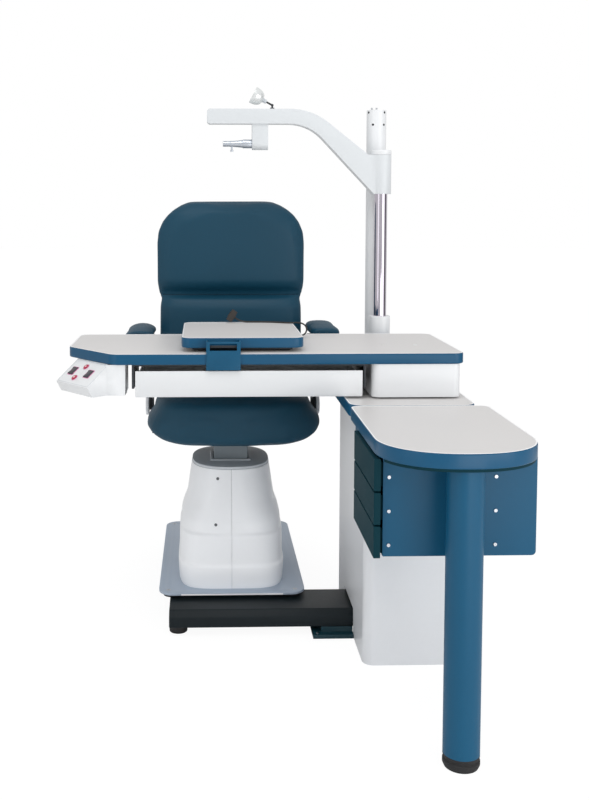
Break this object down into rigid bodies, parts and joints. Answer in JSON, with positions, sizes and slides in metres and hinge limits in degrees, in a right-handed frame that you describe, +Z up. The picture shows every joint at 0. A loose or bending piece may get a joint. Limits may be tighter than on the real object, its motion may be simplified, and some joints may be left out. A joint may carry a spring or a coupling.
{
  "type": "ophthalmic examination chair",
  "caption": "Eye examination unit: padded lift chair beside a cabinet with a swing instrument table and sliding tray, a round-nosed worktop over drawers, and a column with a refractor arm.",
  "frame": {"origin": "on the floor under the middle of the unit's footprint", "axes": "+Z up, +X to the right across the front and +Y away from the examiner, towards the chair's back"},
  "size_m": [1.195, 1.568, 1.6569],
  "materials": {
    "beam_paint": "satin dark slate paint",
    "rubber": "matt black rubber",
    "joint_paint": "satin dark teal paint",
    "plate_paint": "fine textured grey paint",
    "screw_steel": "satin steel",
    "shroud_plastic": "soft gloss moulded white",
    "grey_plastic": "matt grey",
    "guide_steel": "plain steel",
    "dark_steel": "satin dark grey paint",
    "cabinet_paint": "satin light grey paint",
    "laminate": "fine textured light laminate",
    "band_blue": "satin blue edge band",
    "teal_paint": "satin teal blue paint",
    "white_paint": "satin white paint",
    "chrome": "bright chrome",
    "upholstery": "soft upholstery vinyl with fine grain",
    "white_plastic": "gloss white",
    "switch_plastic": "dark violet black gloss",
    "button_red": "gloss raspberry red",
    "cable_rubber": "matt dark grey",
    "connector_plastic": "matt dark grey",
    "arm_paint": "satin off white paint",
    "pin_steel": "turned steel",
    "lamp_metal": "satin aluminium"
  },
  "bodies": {
    "base": {"base_beams": "beam_paint", "rubber_feet": "rubber", "joint_plate": "joint_paint", "base_plate": "plate_paint", "frame_screws": "screw_steel", "shroud_left": "shroud_plastic", "shroud_right": "shroud_plastic", "shroud_cap": "grey_plastic", "lift_guide": "guide_steel", "actuator_body": "dark_steel", "cabinet_body": "cabinet_paint", "cabinet_top": "laminate", "cabinet_band": "band_blue", "rear_housing": "cabinet_paint", "worktop": "laminate", "worktop_band": "band_blue", "leg_tube": "teal_paint", "leg_foot": "rubber", "drawer_housing": "teal_paint", "white_pole": "white_paint", "pole_studs": "screw_steel", "column_collar": "white_paint", "swing_post": "guide_steel"},
    "chair": {"lift_column": "dark_steel", "seat_frame": "dark_steel", "seat_cushion": "upholstery", "back_cushion": "upholstery", "back_shell": "grey_plastic", "pivot_caps": "white_plastic"},
    "left_armrest": {"left_arm_support": "dark_steel", "left_arm_pad": "upholstery"},
    "right_armrest": {"right_arm_support": "dark_steel", "right_arm_pad": "upholstery"},
    "table": {"table_top": "laminate", "table_band": "band_blue", "table_frame": "dark_steel", "pivot_box": "white_paint", "swing_bearing": "guide_steel", "control_box": "white_plastic"},
    "lens_drawer": {"lens_drawer": "white_plastic"},
    "left_rocker": {"rocker_left": "switch_plastic"},
    "right_rocker": {"rocker_right": "switch_plastic"},
    "upper_button": {"button_upper": "button_red"},
    "lower_button": {"button_lower": "button_red"},
    "tray": {"tray_top": "laminate", "tray_band": "band_blue", "tray_carriage": "dark_steel", "tray_bracket": "teal_paint", "tray_cable": "cable_rubber", "cable_connector": "connector_plastic"},
    "latch": {"latch_bar": "teal_paint"},
    "top_drawer": {"drawer_top": "teal_paint"},
    "middle_drawer": {"drawer_middle": "teal_paint"},
    "bottom_drawer": {"drawer_bottom": "teal_paint"},
    "column": {"chrome_column": "chrome", "top_ring": "white_paint"},
    "arm": {"refractor_arm": "arm_paint"},
    "pin": {"refractor_pin": "pin_steel"},
    "lamp": {"lamp_neck": "dark_steel", "lamp_head": "lamp_metal"}
  },
  "joints": [
    {"name": "chair_lift", "type": "slide", "parent": "base", "child": "chair", "axis": [0, 0, 1], "range_m": [0, 0.12]},
    {"name": "left_armrest_hinge", "type": "hinge", "parent": "chair", "child": "left_armrest", "pos_m": [-0.34885, 0.349, 0.622], "axis": [-1, 0, 0], "range_deg": [0, 75]},
    {"name": "right_armrest_hinge", "type": "hinge", "parent": "chair", "child": "right_armrest", "pos_m": [0.18875, 0.349, 0.622], "axis": [-1, 0, 0], "range_deg": [0, 75]},
    {"name": "table_swing", "type": "hinge", "parent": "base", "child": "table", "pos_m": [0.40895, 0.019, 0.78], "axis": [0, 0, 1], "range_deg": [0, 90]},
    {"name": "lens_drawer_slide", "type": "slide", "parent": "table", "child": "lens_drawer", "axis": [0, -1, 0], "range_m": [0, 0.18]},
    {"name": "left_rocker_hinge", "type": "hinge", "parent": "table", "child": "left_rocker", "pos_m": [-0.54714, -0.05855, 0.79812], "axis": [-0.6384, 0.7697, 0], "range_deg": [-8, 8], "stiffness_Nm_per_rad": 0.5},
    {"name": "right_rocker_hinge", "type": "hinge", "parent": "table", "child": "right_rocker", "pos_m": [-0.49606, -0.12012, 0.79812], "axis": [-0.6384, 0.7697, 0], "range_deg": [-8, 8], "stiffness_Nm_per_rad": 0.5},
    {"name": "upper_button_press", "type": "slide", "parent": "table", "child": "upper_button", "axis": [0.4697, 0.3896, -0.7922], "range_m": [0, 0.0025], "stiffness_N_per_m": 400, "springref_m": -0.002},
    {"name": "lower_button_press", "type": "slide", "parent": "table", "child": "lower_button", "axis": [0.4697, 0.3896, -0.7922], "range_m": [0, 0.0025], "stiffness_N_per_m": 400, "springref_m": -0.002},
    {"name": "tray_slide", "type": "slide", "parent": "table", "child": "tray", "axis": [1, 0, 0], "range_m": [-0.2, 0.2]},
    {"name": "latch_hinge", "type": "hinge", "parent": "tray", "child": "latch", "pos_m": [-0.12005, -0.1363, 0.879], "axis": [1, 0, 0], "range_deg": [0, 15], "stiffness_Nm_per_rad": 0.2, "springref_deg": -11.46},
    {"name": "top_drawer_slide", "type": "slide", "parent": "base", "child": "top_drawer", "axis": [-1, 0, 0], "range_m": [0, 0.28]},
    {"name": "middle_drawer_slide", "type": "slide", "parent": "base", "child": "middle_drawer", "axis": [-1, 0, 0], "range_m": [0, 0.28]},
    {"name": "bottom_drawer_slide", "type": "slide", "parent": "base", "child": "bottom_drawer", "axis": [-1, 0, 0], "range_m": [0, 0.28]},
    {"name": "column_slide", "type": "slide", "parent": "base", "child": "column", "axis": [0, 0, 1], "range_m": [-0.25, 0.15]},
    {"name": "arm_swing", "type": "hinge", "parent": "column", "child": "arm", "pos_m": [0.40895, 0.379, 1.38], "axis": [0, 0, 1], "range_deg": [0, 95]},
    {"name": "pin_tilt", "type": "hinge", "parent": "arm", "child": "pin", "pos_m": [0.00995, 0.379, 1.476], "axis": [1, 0, 0], "range_deg": [-15, 15]},
    {"name": "lamp_swivel", "type": "hinge", "parent": "arm", "child": "lamp", "pos_m": [0.04995, 0.379, 1.59], "axis": [0, 0, 1], "range_deg": [-90, 90]}
  ]
}
